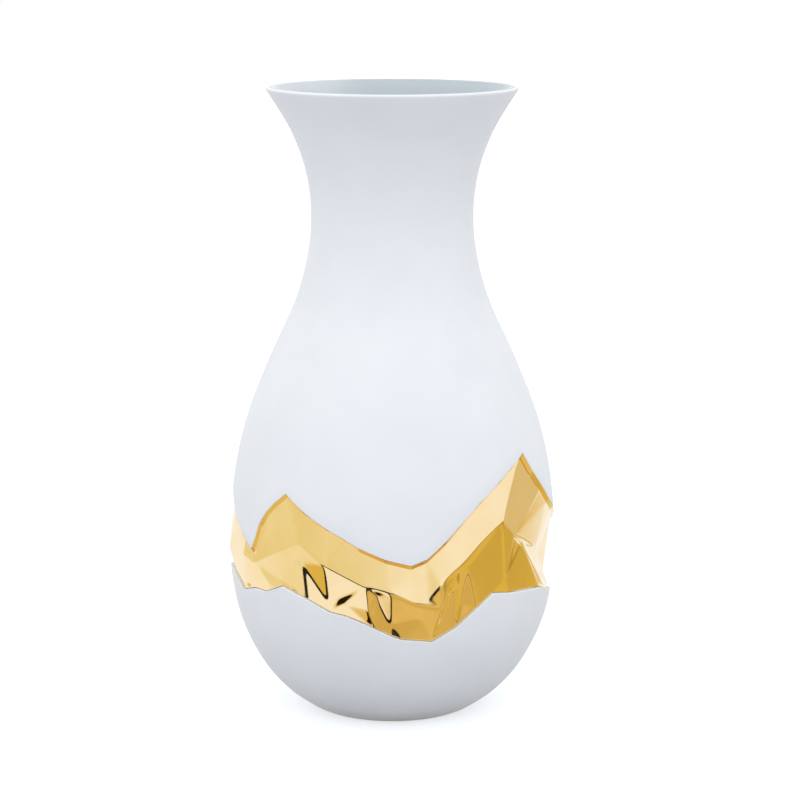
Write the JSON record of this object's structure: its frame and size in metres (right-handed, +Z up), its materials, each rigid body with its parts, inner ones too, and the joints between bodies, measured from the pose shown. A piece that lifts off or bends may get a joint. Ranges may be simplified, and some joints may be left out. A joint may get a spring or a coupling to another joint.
{
  "type": "porcelain vase",
  "caption": "Matt white porcelain vase: round belly, waisted neck, flared lip, a crumpled mirror-gold band set round the belly, glazed inside; holds cut flowers and water.",
  "frame": {"origin": "centre of the foot, on the surface that the vase stands on", "axes": "+Z up along the vase's axis, -Y towards the front, where the band dips lowest"},
  "size_m": [0.1364, 0.1383, 0.26],
  "materials": {
    "white_porcelain": "matte",
    "burnished_gold": "polished",
    "clear_glaze": "gloss"
  },
  "bodies": {
    "root": {"porcelain_body": "white_porcelain", "gold_band": "burnished_gold", "inner_glaze": "clear_glaze"}
  },
  "joints": []
}
